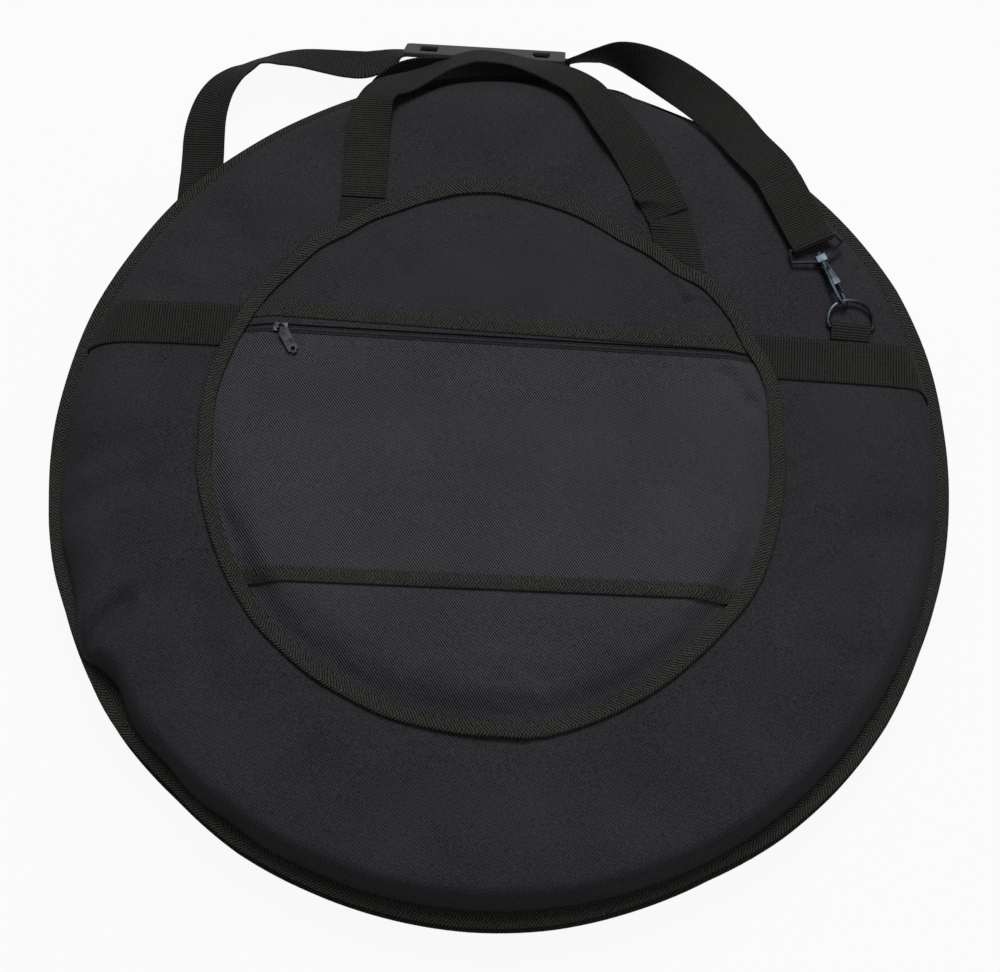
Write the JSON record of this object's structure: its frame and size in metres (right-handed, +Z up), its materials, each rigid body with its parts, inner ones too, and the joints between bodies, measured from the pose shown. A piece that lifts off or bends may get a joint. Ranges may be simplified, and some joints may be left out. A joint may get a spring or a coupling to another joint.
{
  "type": "cymbal bag",
  "caption": "Round black padded bag for cymbals with a zipped front pocket, webbing carry handles on both sides, D rings and a clip-on shoulder strap with a grey pad",
  "frame": {"origin": "under the middle of the whole outline, on the surface that the bag lies on", "axes": "+Z up out of the front, +Y towards the carry handles, +X to the right as the front is seen"},
  "size_m": [0.6416, 0.6794, 0.0839],
  "materials": {
    "cloth": "matt black woven polyester with soft foam behind it",
    "lining": "plain dark woven lining",
    "tape": "black herringbone edge tape",
    "webbing": "black ribbed polypropylene webbing",
    "zip": "black nylon coil and woven tape",
    "nickel": "nickel-plated steel, lightly worn",
    "pad": "grey moulded rubber, finely grained"
  },
  "bodies": {
    "back": {"back_panel": "cloth", "bottom_gusset": "cloth", "back_lining": "lining", "front_panel_base": "cloth", "front_lining_base": "lining", "front_binding_base": "tape", "back_binding": "tape", "zip_tape_back": "zip", "back_band": "webbing", "back_handle_end_left": "webbing", "back_handle_end_right": "webbing", "back_ring_tab": "webbing", "strap_left": "webbing"},
    "front": {"front_panel_lid": "cloth", "front_lining_lid": "lining", "front_binding_lid": "tape", "zip_tape_front": "zip", "pocket_binding": "tape", "pocket_upper_panel": "cloth", "pocket_middle_panel": "cloth", "pocket_lower_panel": "cloth", "pocket_zip_facing": "tape", "pocket_strip": "tape", "pocket_zip_tape": "zip", "pocket_zip_coil": "zip", "front_band_left": "webbing", "front_band_right": "webbing", "front_handle_end_left": "webbing", "front_handle_end_right": "webbing", "front_ring_tab": "webbing", "strap_right": "webbing"},
    "slider_a": {"main_slider_a": "nickel"},
    "pull_a": {"main_pull_a": "nickel"},
    "slider_b": {"main_slider_b": "nickel"},
    "pull_b": {"main_pull_b": "nickel"},
    "pocket_runner": {"pocket_slider": "nickel"},
    "pocket_tab": {"pocket_pull": "nickel"},
    "front_grip": {"front_handle": "webbing"},
    "back_grip": {"back_handle": "webbing"},
    "front_clip": {"front_d_ring": "nickel", "front_hook_loop": "nickel", "front_strap_end": "webbing"},
    "front_snap": {"front_hook": "nickel"},
    "front_gate": {"front_hook_gate": "nickel"},
    "back_clip": {"back_d_ring": "nickel", "back_hook_loop": "nickel", "back_strap_end": "webbing"},
    "back_snap": {"back_hook": "nickel"},
    "back_gate": {"back_hook_gate": "nickel"},
    "pad": {"shoulder_pad": "pad"}
  },
  "joints": [
    {"name": "front_fold", "type": "hinge", "parent": "back", "child": "front", "pos_m": [0, -0.22517, 0.0718], "axis": [1, 0, 0], "range_deg": [0, 60], "deforming": ["zip_tape_front", "zip_tape_back", "strap_right", "strap_left"]},
    {"name": "zip_slider_a", "type": "hinge", "parent": "back", "child": "slider_a", "pos_m": [0, -0.02017, 0.0272], "axis": [0, 0, 1], "range_deg": [0, 206], "deforming": ["zip_tape_back", "zip_tape_front"]},
    {"name": "zip_pull_a", "type": "hinge", "parent": "slider_a", "child": "pull_a", "pos_m": [0.30653, 0.04314, 0.02715], "axis": [0, 0, 1], "range_deg": [-120, 0]},
    {"name": "zip_slider_b", "type": "hinge", "parent": "back", "child": "slider_b", "pos_m": [0, -0.02017, 0.0272], "axis": [0, 0, 1], "range_deg": [-46, 0], "deforming": ["zip_tape_back", "zip_tape_front"]},
    {"name": "zip_pull_b", "type": "hinge", "parent": "slider_b", "child": "pull_b", "pos_m": [0.3097, 0.02517, 0.02715], "axis": [0, 0, 1], "range_deg": [0, 120]},
    {"name": "pocket_slide", "type": "slide", "parent": "front", "child": "pocket_runner", "axis": [1, 0, 0], "range_m": [0, 0.305], "deforming": ["pocket_zip_tape", "pocket_zip_coil"]},
    {"name": "pocket_pull_flip", "type": "hinge", "parent": "pocket_runner", "child": "pocket_tab", "pos_m": [-0.15996, 0.06423, 0.0827], "axis": [0.848, 0.5299, 0], "range_deg": [-150, 0]},
    {"name": "front_handle_fold", "type": "hinge", "parent": "front", "child": "front_grip", "pos_m": [0, 0.17183, 0.0737], "axis": [1, 0, 0], "range_deg": [0, 150]},
    {"name": "back_handle_fold", "type": "hinge", "parent": "back", "child": "back_grip", "pos_m": [0, 0.16283, 0.0004], "axis": [1, 0, 0], "range_deg": [-150, 0]},
    {"name": "front_ring_swing", "type": "hinge", "parent": "front", "child": "front_clip", "pos_m": [0.2415, 0.09233, 0.07297], "axis": [0.9955, 0, -0.0949], "range_deg": [0, 25], "deforming": ["strap_right"]},
    {"name": "front_hook_swivel", "type": "hinge", "parent": "front_clip", "child": "front_snap", "pos_m": [0.22056, 0.14054, 0.07592], "axis": [-0.4617, 0.887, 0], "range_deg": [-5, 25]},
    {"name": "front_gate_press", "type": "hinge", "parent": "front_snap", "child": "front_gate", "pos_m": [0.22644, 0.13548, 0.07181], "axis": [0.7266, 0.3782, 0.5736], "range_deg": [-20, 0], "stiffness_Nm_per_rad": 0.02},
    {"name": "back_ring_swing", "type": "hinge", "parent": "back", "child": "back_clip", "pos_m": [-0.2415, 0.09233, 0.00593], "axis": [0.985, 0, -0.1725], "range_deg": [-60, 0], "deforming": ["strap_left"]},
    {"name": "back_hook_swivel", "type": "hinge", "parent": "back_clip", "child": "back_snap", "pos_m": [-0.24153, 0.14523, 0.00575], "axis": [0, 1, 0], "range_deg": [-5, 5]},
    {"name": "back_gate_press", "type": "hinge", "parent": "back_snap", "child": "back_gate", "pos_m": [-0.23798, 0.13803, 0.0093], "axis": [-0.7071, 0, 0.7071], "range_deg": [-20, 0], "stiffness_Nm_per_rad": 0.02},
    {"name": "pad_slide", "type": "slide", "parent": "back", "child": "pad", "axis": [1, 0, 0], "range_m": [-0.015, 0.015], "deforming": ["strap_left", "strap_right"]}
  ]
}
